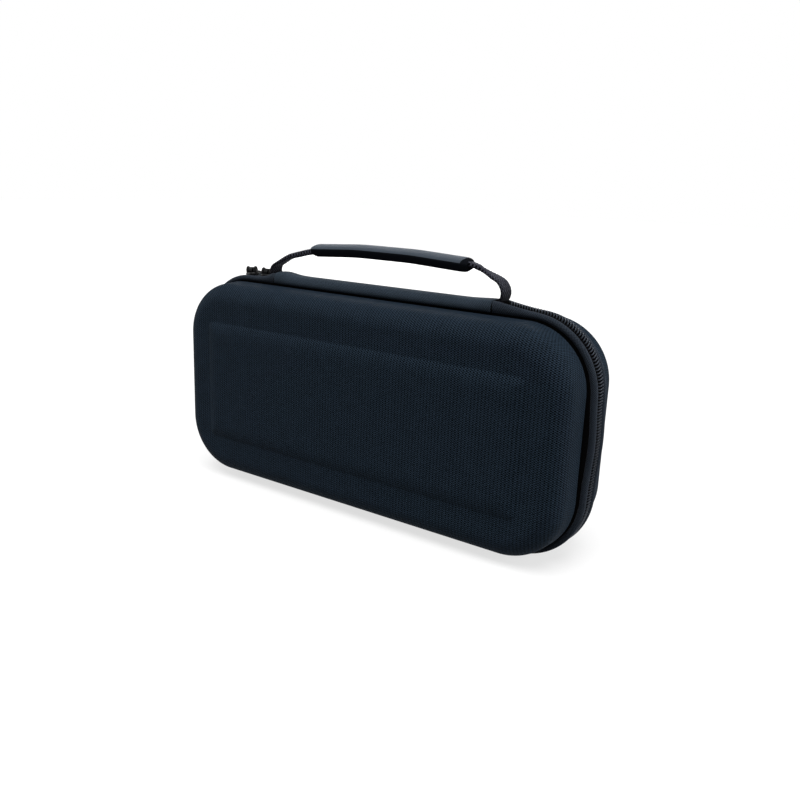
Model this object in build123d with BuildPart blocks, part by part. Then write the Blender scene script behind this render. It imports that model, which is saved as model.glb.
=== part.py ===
# Clamshell carrying case for a handheld game console, standing on its long bottom edge.
# Millimetres. X runs along the case, the front half faces -Y, Z is up from the surface it stands on.
from build123d import *
from math import cos, radians, sin, tan
import os

# Moulded halves
shell_length = 254.0
shell_height = 118.0
shell_corner_radius = 33.0
shell_depth = 29.0
shell_wall = 4.0
shell_draft = 3.3
shell_face_fillet = 9.4

# Raised panel on each broad face
panel_length = 210.0
panel_height = 71.0
panel_raise = 1.2
panel_corner_radius = 4.0
panel_slope = 40.0
panel_edge_fillet = 0.8

# Rim: a flange on each half, wrapped in a binding
rim_gap = 7.2
flange_proud = 2.0
flange_thickness = 1.6
binding_cover = 0.8
binding_proud = 3.0
binding_edge_fillet = 1.2

# Coil zip round three sides
coil_gap = 1.1
coil_width = 1.75
coil_height = 1.2
tape_thickness = 0.6
tape_level = 1.0
tape_tuck = 3.0
coil_end_margin = 6.5

# Spine panel along the top
spine_length = 146.0
spine_edge_height = 1.2
spine_dome = 1.3
spine_clearance = 0.2

# Webbing handle
webbing_width = 10.0
webbing_thickness = 1.4
webbing_tab_length = 13.0
webbing_fold_radius = 1.3
left_fold_reach = 4.9
right_fold_reach = 2.4
left_bend_reach = 18.0
left_bend_drop = 5.3
left_bend_radius = 20.0
right_bend_reach = 17.5
right_bend_drop = 5.0
right_bend_radius = 10.0
right_bulge_reach = 3.9
right_bulge_rise = 7.1
right_bulge_radius = 3.2
left_grip_inset = 24.5
right_grip_inset = 17.5
grip_width = 11.5
grip_height = 7.0
grip_edge_fillet = 3.2
grip_rise = 17.2
grip_arch = 2.2
grip_arch_length = 36.0
grip_end_radius = 60.0
grip_arch_radius = 200.0

# Sliders and pull tabs
slider_length = 8.6
slider_nose_radius = 3.2
slider_tail_radius = 2.3
slider_plate = 0.9
slider_clearance = 0.5
slider_post_length = 1.8
slider_post_width = 0.7
slider_rail_length = 2.6
slider_rail_width = 0.4
slider_rail_inset = 0.35
slider_rail_height = 0.7
bridge_length = 6.4
bridge_width = 2.0
bridge_leg = 1.2
bridge_bar_radius = 0.9
bridge_cap = 0.15
bridge_shoulder = 1.2
right_slider_margin = 0.6
slider_spacing = 12.4
pull_eye_wall = 0.75
pull_eye_length = 2.8
pull_clearance = 0.1
pull_length = 16.0
pull_width = 5.0
pull_thickness = 1.2
pull_slot_length = 6.0
pull_slot_width = 1.8
pull_rest_angle = 17.0

# Inside
seam_tape_width = 8.0
seam_tape_thickness = 0.6
tray_set_back = 12.0
tray_clearance = 0.3
tray_wall = 3.2
tray_floor = 2.0
recess_corner_radius = 26.0
recess_floor_fillet = 3.0
pocket_set_back = 12.4
pocket_mouth = 80.0
pocket_net_thickness = 0.8
pocket_band_height = 10.0
pocket_band_thickness = 1.4
pocket_clearance = 0.3

# Values that follow from those above
half_gap = rim_gap / 2
binding_width = flange_thickness + 2 * binding_cover
groove = half_gap + binding_width
case_centre = shell_height / 2 + binding_proud
rim_top = case_centre + shell_height / 2
binding_top = rim_top + binding_proud
spine_bottom = binding_top + spine_clearance
spine_end = spine_length / 2
coil_end = spine_end + coil_end_margin
coil_inner = coil_gap / 2
coil_level = tape_level + tape_thickness
coil_top = coil_level + coil_height
cavity_depth = shell_depth - shell_wall
cavity_fillet = shell_face_fillet - shell_wall


def depth_plane(depth):
    """A plane across the front half, this far in front of the middle plane, centred on the case."""
    return Plane(origin=(0, -depth, case_centre), x_dir=(1, 0, 0), z_dir=(0, -1, 0))


def rim_outline(outward, mode=Mode.ADD):
    """The rounded outline of the rim, moved outward by this much."""
    RectangleRounded(
        shell_length + 2 * outward,
        shell_height + 2 * outward,
        shell_corner_radius + outward,
        mode=mode,
    )


def drafted_inset(depth):
    """How far the moulded walls have come in at this depth."""
    return (depth - half_gap) * tan(radians(shell_draft))


def top_gap_cut(half_width):
    """Removes what lies above the case's centre and nearer to the middle than half_width."""
    with BuildSketch(Plane.XY.offset(case_centre)) as top_gap:
        Rectangle(2 * half_width, 2 * shell_depth)
    extrude(top_gap.sketch, amount=shell_height, mode=Mode.SUBTRACT)


# Front and rear shell
with BuildPart() as cavity:
    with BuildSketch(depth_plane(half_gap)):
        rim_outline(-shell_wall)
    extrude(amount=cavity_depth - half_gap, taper=shell_draft)
    fillet(cavity.faces().sort_by(Axis.Y)[0].edges(), cavity_fillet)

with BuildPart() as front_shell:
    with BuildSketch(depth_plane(half_gap)):
        rim_outline(0)
    extrude(amount=shell_depth - half_gap, taper=shell_draft)
    fillet(front_shell.faces().sort_by(Axis.Y)[0].edges(), shell_face_fillet)
    with BuildSketch(depth_plane(shell_depth)):
        RectangleRounded(panel_length, panel_height, panel_corner_radius)
    extrude(amount=panel_raise, taper=panel_slope)
    fillet(front_shell.faces().sort_by(Axis.Y)[0].edges(), panel_edge_fillet)
    with BuildSketch(depth_plane(half_gap + binding_cover)):
        rim_outline(flange_proud)
        rim_outline(-shell_wall / 2, mode=Mode.SUBTRACT)
    extrude(amount=flange_thickness)
    add(cavity.part, mode=Mode.SUBTRACT)
front_shell.part.label = "front_shell"

with BuildPart() as rear_shell:
    mirror(front_shell.part, about=Plane.XZ)
rear_shell.part.label = "rear_shell"

# Bindings round both rims
with BuildPart() as front_binding:
    with BuildSketch(depth_plane(half_gap)):
        rim_outline(binding_proud)
    extrude(amount=binding_width)
    fillet(front_binding.edges().group_by(Axis.Y)[0], binding_edge_fillet)
    fillet(front_binding.edges().group_by(Axis.Y)[-1], binding_edge_fillet)
    with BuildSketch(depth_plane(half_gap)):
        rim_outline(0)
    extrude(amount=binding_width, mode=Mode.SUBTRACT)
    add(front_shell.part, mode=Mode.SUBTRACT)
front_binding.part.label = "front_binding"

with BuildPart() as rear_binding:
    mirror(front_binding.part, about=Plane.XZ)
rear_binding.part.label = "rear_binding"

# Zip tapes and coils
with BuildPart() as front_zip_tape:
    with BuildSketch(depth_plane(coil_inner)):
        rim_outline(tape_level + tape_thickness)
        rim_outline(tape_level, mode=Mode.SUBTRACT)
    extrude(amount=half_gap - coil_inner)
    top_gap_cut(spine_end - tape_tuck)
front_zip_tape.part.label = "front_zip_tape"

with BuildPart() as rear_zip_tape:
    mirror(front_zip_tape.part, about=Plane.XZ)
rear_zip_tape.part.label = "rear_zip_tape"

with BuildPart() as front_zip_coil:
    with BuildSketch(depth_plane(coil_inner)):
        rim_outline(coil_top)
        rim_outline(coil_level, mode=Mode.SUBTRACT)
    extrude(amount=coil_width)
    top_gap_cut(coil_end)
front_zip_coil.part.label = "front_zip_coil"

with BuildPart() as rear_zip_coil:
    mirror(front_zip_coil.part, about=Plane.XZ)
rear_zip_coil.part.label = "rear_zip_coil"

# Webbing handle: one ribbon, folded under both ends of the spine panel
tab_level = spine_bottom + webbing_thickness / 2
grip_end_level = tab_level + grip_rise
grip_left = left_grip_inset - spine_end
grip_right = spine_end - right_grip_inset
grip_middle = (grip_left + grip_right) / 2
left_fold = -(spine_end + left_fold_reach)
right_fold = spine_end + right_fold_reach
grip_points = [
    (grip_left, grip_end_level),
    (grip_middle - grip_arch_length / 2, grip_end_level + grip_arch),
    (grip_middle + grip_arch_length / 2, grip_end_level + grip_arch),
    (grip_right, grip_end_level),
]
left_points = [
    (webbing_tab_length - spine_end, tab_level),
    (left_fold, tab_level),
    (grip_left - left_bend_reach, grip_end_level - left_bend_drop),
]
right_points = [
    (grip_right + right_bend_reach, grip_end_level - right_bend_drop),
    (right_fold + right_bulge_reach, tab_level + right_bulge_rise),
    (right_fold, tab_level),
    (spine_end - webbing_tab_length, tab_level),
]
left_radii = [webbing_fold_radius, left_bend_radius]
grip_radii = [grip_end_radius, grip_arch_radius, grip_arch_radius, grip_end_radius]
right_radii = [right_bend_radius, right_bulge_radius, webbing_fold_radius]

with BuildPart() as handle_webbing:
    with BuildSketch(Plane.XZ):
        with BuildLine() as ribbon_line:
            FilletPolyline(left_points + grip_points + right_points, radius=left_radii + grip_radii + right_radii)
        trace(ribbon_line.line, webbing_thickness)
    extrude(amount=webbing_width / 2, both=True)
handle_webbing.part.label = "handle_webbing"

with BuildPart() as handle_grip:
    with BuildSketch(Plane.XZ):
        with BuildLine() as grip_line:
            FilletPolyline(grip_points, radius=grip_arch_radius)
        trace(grip_line.line, grip_height)
    extrude(amount=grip_width / 2, both=True)
    long_edges = handle_grip.edges().group_by(Axis.Y)[0] + handle_grip.edges().group_by(Axis.Y)[-1]
    fillet(long_edges.filter_by(lambda edge: edge.length > grip_height * 1.5), grip_edge_fillet)
    add(handle_webbing.part, mode=Mode.SUBTRACT)
handle_grip.part.label = "handle_grip"

# Spine panel, domed, with a pocket at each end for the webbing's folded tab
with BuildPart() as spine_panel:
    with BuildSketch(Plane.YZ):
        with BuildLine():
            spine_side = spine_bottom + spine_edge_height
            Polyline((-groove, spine_side), (-groove, spine_bottom), (groove, spine_bottom), (groove, spine_side))
            ThreePointArc((groove, spine_side), (0, spine_side + spine_dome), (-groove, spine_side))
        make_face()
    extrude(amount=spine_end, both=True)
    add(handle_webbing.part, mode=Mode.SUBTRACT)
spine_panel.part.label = "spine_panel"

# Zip sliders: two plates joined by a post between the coils, with a bridge for the pull tab
slider_top = binding_proud
slider_bottom = tape_level - slider_clearance
bar_level = slider_top + slider_plate + bridge_bar_radius + pull_clearance * 2 + pull_eye_wall
nose_centre = slider_length / 2 - slider_nose_radius
tail_centre = slider_length / 2 - slider_tail_radius


def slider_outline(nose):
    """The plate of a slider, wide at the nose and narrow at the tail."""
    with Locations((nose * nose_centre, 0)):
        Circle(slider_nose_radius)
    with Locations((-nose * tail_centre, 0)):
        Circle(slider_tail_radius)
    make_hull()


def make_slider(seat, nose):
    """A slider on its seat, a plane on the rim's outline; nose is the side of the zip that it opens."""
    along = Plane(origin=seat.origin, x_dir=seat.x_dir, z_dir=-seat.y_dir)
    across = Plane(origin=seat.origin, x_dir=seat.y_dir, z_dir=seat.x_dir)
    bridge_top = bar_level + bridge_bar_radius + bridge_cap
    window = bridge_length - 2 * bridge_leg
    rail_place = slider_nose_radius - slider_rail_inset - slider_rail_width / 2
    with BuildPart() as slider:
        with BuildSketch(seat.offset(slider_top)):
            slider_outline(nose)
        extrude(amount=slider_plate)
        with BuildSketch(seat.offset(slider_bottom)):
            slider_outline(nose)
        extrude(amount=-slider_plate)
        with BuildSketch(seat.offset(slider_bottom)):
            with Locations((nose * nose_centre, 0)):
                Rectangle(slider_post_length, slider_post_width)
        extrude(amount=slider_top - slider_bottom)
        with BuildSketch(seat.offset(slider_top)):
            with Locations((nose * nose_centre, rail_place), (nose * nose_centre, -rail_place)):
                Rectangle(slider_rail_length, slider_rail_width)
        extrude(amount=-slider_rail_height)
        with BuildSketch(along) as bridge:
            with Locations((0, (slider_top + bridge_top) / 2)):
                Rectangle(bridge_length, bridge_top - slider_top)
            fillet(bridge.vertices().group_by(Axis.Y)[-1], bridge_shoulder)
            with Locations((0, slider_top + slider_plate)):
                Rectangle(window, bridge_top, align=(Align.CENTER, Align.MIN), mode=Mode.SUBTRACT)
        extrude(amount=bridge_width / 2, both=True)
        with BuildSketch(across):
            with Locations((0, bar_level)):
                Circle(bridge_bar_radius)
        extrude(amount=bridge_length / 2 - bridge_shoulder / 2, both=True)
    return slider


def make_pull(seat):
    """A pull tab on the bridge of a slider, lying over the rear binding."""
    across = Plane(origin=seat.origin, x_dir=seat.y_dir, z_dir=seat.x_dir)
    axis_point = seat.origin + seat.z_dir * bar_level
    rest = radians(pull_rest_angle)
    tab = Plane(origin=axis_point, x_dir=seat.x_dir, z_dir=seat.z_dir * cos(rest) + seat.y_dir * sin(rest))
    eye_inner = bridge_bar_radius + pull_clearance
    eye_outer = eye_inner + pull_eye_wall
    with BuildPart() as pull:
        with BuildSketch(tab):
            with Locations((0, eye_outer)):
                Circle(pull_eye_length / 2)
            with Locations((0, eye_outer + pull_width)):
                Circle(pull_width / 2)
            make_hull()
            with Locations((0, (eye_outer + pull_width + pull_length - pull_width / 2) / 2)):
                Rectangle(pull_width, pull_length - pull_width * 1.5 - eye_outer)
            with Locations((0, pull_length - pull_width / 2)):
                Circle(pull_width / 2)
            with Locations((0, pull_length - pull_width / 2 - pull_slot_length / 2)):
                SlotOverall(pull_slot_length, pull_slot_width, rotation=90, mode=Mode.SUBTRACT)
        extrude(amount=pull_thickness / 2, both=True)
        with BuildSketch(across):
            with Locations((0, bar_level)):
                Circle(eye_outer)
        extrude(amount=pull_eye_length / 2, both=True)
        with BuildSketch(across):
            with Locations((0, bar_level)):
                Circle(eye_inner)
        extrude(amount=pull_length, both=True, mode=Mode.SUBTRACT)
    return pull


# The zip's line runs from the middle of the top, round the left top corner and down the left side
with BuildLine(Plane.XZ) as zip_line:
    rim_end = -(shell_length / 2 + binding_proud)
    zip_corner_radius = shell_corner_radius + binding_proud
    FilletPolyline((0, binding_top), (rim_end, binding_top), (rim_end, case_centre), radius=zip_corner_radius)
zip_path = zip_line.wires()[0]


def zip_seat(distance):
    """A plane on the rim's outline, at this distance from the middle along the zip's line, facing outward."""
    point = zip_path.position_at(distance, position_mode=PositionMode.LENGTH)
    onward = zip_path.tangent_at(distance, position_mode=PositionMode.LENGTH)
    surface = Plane(origin=point, x_dir=-onward, z_dir=Vector(0, 1, 0).cross(onward))
    return surface.offset(-binding_proud)


right_slider_place = coil_end + right_slider_margin + slider_length / 2
left_slider_place = right_slider_place + slider_spacing
right_seat = zip_seat(right_slider_place)
left_seat = zip_seat(left_slider_place)
print("seat of the left slider:", left_seat.origin, "outward", left_seat.z_dir)
print("seat of the right slider:", right_seat.origin, "outward", right_seat.z_dir)
print("pull tab axis, above the seat:", round(bar_level, 3))

left_slider = make_slider(left_seat, 1)
left_slider.part.label = "left_slider"
right_slider = make_slider(right_seat, -1)
right_slider.part.label = "right_slider"
left_pull = make_pull(left_seat)
left_pull.part.label = "left_pull"
right_pull = make_pull(right_seat)
right_pull.part.label = "right_pull"

# Seam tapes inside both rims
with BuildPart() as front_seam_tape:
    with BuildSketch(depth_plane(half_gap)):
        rim_outline(-shell_wall)
    extrude(amount=seam_tape_width, taper=shell_draft)
    with BuildSketch(depth_plane(half_gap)):
        rim_outline(-shell_wall - seam_tape_thickness)
    extrude(amount=seam_tape_width, taper=shell_draft, mode=Mode.SUBTRACT)
front_seam_tape.part.label = "front_seam_tape"

with BuildPart() as rear_seam_tape:
    mirror(front_seam_tape.part, about=Plane.XZ)
rear_seam_tape.part.label = "rear_seam_tape"

# Console tray in the rear half, made facing the front and mirrored into place
with BuildPart() as tray_block:
    tray_inset = shell_wall + drafted_inset(tray_set_back) + tray_clearance
    recess_inset = tray_inset + tray_wall
    with BuildSketch(depth_plane(tray_set_back)):
        rim_outline(-tray_inset)
    extrude(amount=cavity_depth - tray_set_back, taper=shell_draft)
    fillet(tray_block.faces().sort_by(Axis.Y)[0].edges(), cavity_fillet)
    with BuildSketch(depth_plane(tray_set_back)):
        RectangleRounded(shell_length - 2 * recess_inset, shell_height - 2 * recess_inset, recess_corner_radius)
    extrude(amount=cavity_depth - tray_set_back - tray_floor, mode=Mode.SUBTRACT)
    recess_bottom = tray_block.faces().filter_by(Axis.Y).sort_by(Axis.Y)[1]
    fillet(recess_bottom.edges(), recess_floor_fillet)

with BuildPart() as console_tray:
    mirror(tray_block.part, about=Plane.XZ)
console_tray.part.label = "console_tray"

# Accessory pocket in the front half: a net with an elastic band at its mouth
with BuildPart() as pocket_net:
    with BuildSketch(depth_plane(pocket_set_back)):
        rim_outline(-shell_wall - drafted_inset(pocket_set_back + pocket_net_thickness) - pocket_clearance)
        with Locations((0, pocket_mouth - case_centre)):
            Rectangle(shell_length, shell_height, align=(Align.CENTER, Align.MIN), mode=Mode.SUBTRACT)
    extrude(amount=pocket_net_thickness)
pocket_net.part.label = "pocket_net"

with BuildPart() as pocket_band:
    with BuildSketch(depth_plane(pocket_set_back)):
        rim_outline(-shell_wall - drafted_inset(pocket_set_back + pocket_band_thickness) - pocket_clearance)
        with Locations((0, pocket_mouth - case_centre + pocket_band_height / 2)):
            Rectangle(shell_length, pocket_band_height, mode=Mode.INTERSECT)
    extrude(amount=pocket_band_thickness)
pocket_band.part.label = "pocket_band"

# One STEP file for each piece
pieces = [
    front_shell,
    rear_shell,
    front_binding,
    rear_binding,
    front_zip_tape,
    rear_zip_tape,
    front_zip_coil,
    rear_zip_coil,
    left_slider,
    right_slider,
    left_pull,
    right_pull,
    spine_panel,
    handle_webbing,
    handle_grip,
    front_seam_tape,
    rear_seam_tape,
    console_tray,
    pocket_net,
    pocket_band,
]
os.makedirs("parts", exist_ok=True)
for piece in pieces:
    export_step(piece.part, f"parts/{piece.part.label}.step")
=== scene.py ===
# %% [markdown]
# A moulded carrying case for a handheld game console, built piece by piece around a fixed CAD frame. Every
# piece below is a surface worked out with numpy: a grid of points, or a profile carried along a path. All
# lengths are written in millimetres and become metres in one place, where a mesh is made.

# %% Load the frame and keep its box
import math
import bmesh
import bpy
import numpy as np
from mathutils import Matrix


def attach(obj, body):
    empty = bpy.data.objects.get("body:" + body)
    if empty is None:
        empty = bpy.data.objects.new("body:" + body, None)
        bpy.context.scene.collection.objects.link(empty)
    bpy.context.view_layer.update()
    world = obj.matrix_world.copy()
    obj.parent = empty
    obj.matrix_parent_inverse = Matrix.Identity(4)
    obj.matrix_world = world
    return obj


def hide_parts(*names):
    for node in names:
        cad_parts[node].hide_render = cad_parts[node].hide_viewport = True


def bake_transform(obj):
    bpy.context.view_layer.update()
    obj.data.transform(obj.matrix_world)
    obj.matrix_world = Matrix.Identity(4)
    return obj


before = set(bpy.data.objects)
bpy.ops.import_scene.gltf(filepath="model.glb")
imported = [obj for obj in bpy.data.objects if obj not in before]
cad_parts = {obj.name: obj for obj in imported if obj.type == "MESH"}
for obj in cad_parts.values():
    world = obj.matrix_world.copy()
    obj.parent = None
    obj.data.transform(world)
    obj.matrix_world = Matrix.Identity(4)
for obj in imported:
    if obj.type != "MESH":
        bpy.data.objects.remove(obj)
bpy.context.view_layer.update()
scene = bpy.context.scene
scene.view_settings.view_transform = "Standard"
METRE = 0.001

# %% [markdown]
# The camera comes first, because every later choice is judged through it. It was fitted to the outline of
# the case, its groove and its zip, so it is given as a place and three axes. The picture is square, 800 by
# 800, and the optical axis lies a little left of its middle, which is what the small shift says.

# %% Camera
CAMERA_PLACE = np.array((265.970, -367.126, 184.061))
CAMERA_AXES = np.array((
    (0.804326, 0.593328, 0.031949),
    (-0.179241, 0.191015, 0.965083),
    (0.566509, -0.781968, 0.259987),
))
camera_data = bpy.data.cameras.new("camera")
camera_data.sensor_width = 36.0
camera_data.lens = 37.29
camera_data.shift_x = 0.0295
camera = bpy.data.objects.new("camera", camera_data)
scene.collection.objects.link(camera)
camera_matrix = np.eye(4)
camera_matrix[:3, :3] = CAMERA_AXES.T
camera_matrix[:3, 3] = CAMERA_PLACE * METRE
camera.matrix_world = Matrix(camera_matrix.tolist())
scene.camera = camera
print("camera at", [round(v, 4) for v in camera.location], "lens", camera_data.lens)

# %% [markdown]
# Materials are node trees. One helper adds a node, sets its properties and gives each input a value or a
# link, so a finish reads as a list of steps. Colours are written as sRGB hex values, the way a colour
# picker shows them, and turned into the linear numbers that the shader works with.


# %% Colour and node helpers
def linear(hex_colour):
    """Each sRGB channel c becomes c / 12.92 when it is dark, and ((c + 0.055) / 1.055) to the 2.4 when
    it isn't."""
    srgb = np.array([int(hex_colour[i:i + 2], 16) for i in (1, 3, 5)]) / 255
    values = np.where(srgb <= 0.04045, srgb / 12.92, ((srgb + 0.055) / 1.055) ** 2.4)
    return (*values.tolist(), 1.0)


def add_node(tree, kind, inputs=None, **settings):
    """Adds a node, sets its properties, and sets or links each input that is named or numbered."""
    made = tree.nodes.new(kind)
    for name, value in settings.items():
        setattr(made, name, value)
    for name, value in (inputs or {}).items():
        if isinstance(value, bpy.types.NodeSocket):
            tree.links.new(value, made.inputs[name])
        else:
            made.inputs[name].default_value = value
    return made


def new_material(name):
    """An empty node material with its output node, ready for a surface shader."""
    material = bpy.data.materials.new(name)
    material.use_nodes = True
    material.node_tree.nodes.clear()
    return material, material.node_tree


def finish_material(tree, shader):
    """Links a shader to the material's output."""
    add_node(tree, "ShaderNodeOutputMaterial", {"Surface": shader})


# %% [markdown]
# The floor is a plain pale sheet. It is lit like everything else, so it keeps the soft shadow of the case,
# and for camera, glossy and transmitted rays light is added so that it reads as white paper. Its own colour
# is a middle grey, because a white floor would throw so much light back that the front of the case looked
# as bright as its top. A wide soft sun stands high in front, so the floor is as bright far away as it is
# near, and three soft boxes light the ends and the back of the case.

# %% Floor, lamps and world
FLOOR_HALF, FLOOR_GLOW = 4000.0, 0.70
STUDIO_LIGHT, STUDIO_SEEN = 0.20, 1.0
SUN_STRENGTH, SUN_SPREAD, SUN_TILT = 4.0, 45, (17, 7, 0)
floor_mesh = bpy.data.meshes.new("floor")
corner_signs = np.array(((-1, -1, 0), (1, -1, 0), (1, 1, 0), (-1, 1, 0)))
floor_mesh.from_pydata((corner_signs * FLOOR_HALF * METRE).tolist(), [], [(0, 1, 2, 3)])
floor = bpy.data.objects.new("floor", floor_mesh)
scene.collection.objects.link(floor)
paper, tree = new_material("white_paper_floor")
sight = add_node(tree, "ShaderNodeLightPath")
seen = add_node(tree, "ShaderNodeMath", {
    0: sight.outputs["Is Camera Ray"], 1: sight.outputs["Is Glossy Ray"]}, operation="MAXIMUM")
seen = add_node(tree, "ShaderNodeMath", {0: seen.outputs[0], 1: sight.outputs["Is Transmission Ray"]},
                operation="MAXIMUM")
glow = add_node(tree, "ShaderNodeMath", {0: seen.outputs[0], 1: FLOOR_GLOW}, operation="MULTIPLY")
paper_shader = add_node(tree, "ShaderNodeBsdfDiffuse", {"Color": linear("#858585")})
paper_glow = add_node(tree, "ShaderNodeEmission", {"Strength": glow.outputs[0]})
paper_sum = add_node(tree, "ShaderNodeAddShader", {0: paper_shader.outputs[0], 1: paper_glow.outputs[0]})
finish_material(tree, paper_sum.outputs[0])
floor_mesh.materials.append(paper)

world = bpy.data.worlds.new("studio")
scene.world = world
world.use_nodes = True
tree = world.node_tree
tree.nodes.clear()
sight = add_node(tree, "ShaderNodeLightPath")
seen = add_node(tree, "ShaderNodeMath", {
    0: sight.outputs["Is Camera Ray"], 1: sight.outputs["Is Transmission Ray"]}, operation="MAXIMUM")
level = add_node(tree, "ShaderNodeMapRange", {
    "Value": seen.outputs[0], "To Min": STUDIO_LIGHT, "To Max": STUDIO_SEEN})
studio = add_node(tree, "ShaderNodeBackground", {"Color": (1, 1, 1, 1), "Strength": level.outputs[0]})
add_node(tree, "ShaderNodeOutputWorld", {"Surface": studio.outputs[0]})


def soft_box(name, place, target, size, watts):
    """A square area lamp at a place, turned so that it faces its target."""
    lamp = bpy.data.lights.new(name, "AREA")
    lamp.size = size * METRE
    lamp.energy = watts
    made = bpy.data.objects.new(name, lamp)
    scene.collection.objects.link(made)
    back = np.array(place, float) - np.array(target, float)
    back /= np.linalg.norm(back)
    right = np.cross((0.0, 1.0, 0.0) if abs(back[2]) > 0.9 else (0.0, 0.0, 1.0), back)
    right /= np.linalg.norm(right)
    axes = np.eye(4)
    axes[:3, :3] = np.stack((right, np.cross(back, right), back), axis=1)
    axes[:3, 3] = np.array(place) * METRE
    made.matrix_world = Matrix(axes.tolist())
    return made


CASE_MIDDLE = (0, 0, 62)
soft_box("right_box", (1150, 600, 300), CASE_MIDDLE, 800, 13)
soft_box("left_box", (-1200, -300, 600), CASE_MIDDLE, 800, 5)
soft_box("back_box", (-700, 1200, 420), CASE_MIDDLE, 900, 11)
overhead = bpy.data.lights.new("overhead_sun", "SUN")
overhead.energy = SUN_STRENGTH
overhead.angle = math.radians(SUN_SPREAD)
overhead_lamp = bpy.data.objects.new("overhead_sun", overhead)
scene.collection.objects.link(overhead_lamp)
overhead_lamp.rotation_euler = [math.radians(v) for v in SUN_TILT]
print("floor, world, sun and three soft boxes are in place")

# %% [markdown]
# All meshes are made in one place. Points arrive in millimetres, faces as an array of corner numbers and,
# where a pattern has to follow the cloth, a flat map in millimetres. Doubles are merged, normals are
# pointed outwards and edges over an angle stay crisp. The helper also says which body carries the piece and
# what it stands for.


# %% Mesh helpers
def strip_faces(rows, columns, close_rows=False, close_columns=False):
    """Four-cornered faces between neighbours in a grid of points, numbered row by row."""
    row = np.arange(rows if close_rows else rows - 1)
    column = np.arange(columns if close_columns else columns - 1)
    r, c = np.meshgrid(row, column, indexing="ij")
    r_next, c_next = (r + 1) % rows, (c + 1) % columns
    corners = (r * columns + c, r * columns + c_next, r_next * columns + c_next, r_next * columns + c)
    return np.stack(corners, axis=-1).reshape(-1, 4)


def tube_faces(rows, columns):
    """Faces of a tube whose rows are closed rings, with a fan of triangles over its first and its last
    ring."""
    fan = np.arange(1, columns - 1)
    cap = np.stack((np.zeros_like(fan), fan, fan + 1, fan + 1), axis=-1)
    return np.concatenate((strip_faces(rows, columns, False, True), cap, cap + (rows - 1) * columns))


def signed_power(values, power):
    """Each value's size raised to a power, with its sign kept. On a sine and a cosine, powers under one
    turn a circle into a rounded box."""
    return np.sign(values) * np.abs(values) ** power


def make_piece(name, points, faces, materials, body, stands_for=(), flat=None, kinds=None, crisp=40.0):
    """Builds one object at the origin from points in mm. A piece that bends between two bodies names no
    body here."""
    mesh = bpy.data.meshes.new(name)
    mesh.from_pydata((np.asarray(points) * METRE).tolist(), [], np.asarray(faces).tolist())
    if flat is not None:
        layer = mesh.uv_layers.new(name="cloth")
        corner = np.zeros(len(mesh.loops), np.int32)
        mesh.loops.foreach_get("vertex_index", corner)
        layer.data.foreach_set("uv", np.asarray(flat, np.float32)[corner].ravel())
    for material in materials:
        mesh.materials.append(material)
    if kinds is not None:
        mesh.polygons.foreach_set("material_index", np.asarray(kinds, np.int32))
    work = bmesh.new()
    work.from_mesh(mesh)
    bmesh.ops.remove_doubles(work, verts=work.verts, dist=1e-6)
    bmesh.ops.dissolve_degenerate(work, edges=work.edges, dist=1e-7)
    bmesh.ops.recalc_face_normals(work, faces=work.faces)
    work.to_mesh(mesh)
    work.free()
    mesh.shade_smooth()
    mesh.set_sharp_from_angle(angle=math.radians(crisp))
    made = bpy.data.objects.new(name, mesh)
    scene.collection.objects.link(made)
    if body:
        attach(made, body)
    if stands_for:
        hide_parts(*stands_for)
    print(name, "has", len(mesh.vertices), "points and", len(mesh.polygons), "faces")
    return made


# %% [markdown]
# The case's plan is a rounded rectangle, and everything on the rim follows it. Two forms of it are needed.
# The first is a line with a length along it, an outward direction and a place for each length, for piping
# and zip. The second is a grid over the whole rounded rectangle, for the broad faces: straight in the
# middle, and at each corner a square grid squeezed into a quarter disc, so that no face is pinched.

# %% The rim's line and plan
HALF_LENGTH, HALF_HEIGHT, CORNER = 127.0, 59.0, 33.0
CENTRE_Z = 62.0
CORE_X, CORE_Z = HALF_LENGTH - CORNER, HALF_HEIGHT - CORNER
QUARTER = CORNER * math.pi / 2
RIM_STEPS = (CORE_X, QUARTER, 2 * CORE_Z, QUARTER, 2 * CORE_X, QUARTER, 2 * CORE_Z, QUARTER, CORE_X)
RIM_BREAKS = np.concatenate(((0.0,), np.cumsum(RIM_STEPS)))
RIM_LENGTH = RIM_BREAKS[-1]
BREAK_X = np.array((0, 1, 1, 1, 1, -1, -1, -1, -1, 0)) * CORE_X
BREAK_Z = np.array((1, 1, 1, -1, -1, -1, -1, 1, 1, 1)) * CORE_Z + CENTRE_Z
BREAK_TURN = np.radians((90, 90, 0, 0, -90, -90, -180, -180, -270, -270))


def rim_line(along):
    """Place and outward direction on the rim at each length, from the middle of the top, to the right
    first. The centre of curvature moves along the straights and waits in the corners while the
    direction turns."""
    turn = np.interp(along, RIM_BREAKS, BREAK_TURN)
    out_x, out_z = np.cos(turn), np.sin(turn)
    x = np.interp(along, RIM_BREAKS, BREAK_X) + CORNER * out_x
    z = np.interp(along, RIM_BREAKS, BREAK_Z) + CORNER * out_z
    return x, z, out_x, out_z


BULGE_LEVEL, BULGE_SPREAD, RIGHT_BULGE, LEFT_BULGE = 66.0, 19.0, 1.5, 0.8


def rim_bulge(x, z):
    """The zip bows out in the middle of the two short sides, most on the right: a bell curve in height."""
    bell = np.exp(-(((z - BULGE_LEVEL) / BULGE_SPREAD) ** 2))
    return np.where(x > CORE_X, RIGHT_BULGE, np.where(x < -CORE_X, LEFT_BULGE, 0.0)) * bell


CLIMB_START, CLIMB_RUN, CLIMB_HEIGHT = 96.0, 21.0, 3.0
DROP_END, DROP_RUN = 69.0, 4.0
CLIMB_FADE, REAR_FADE, LEFT_FADE = 1.2, 1.4, 4.0


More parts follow.
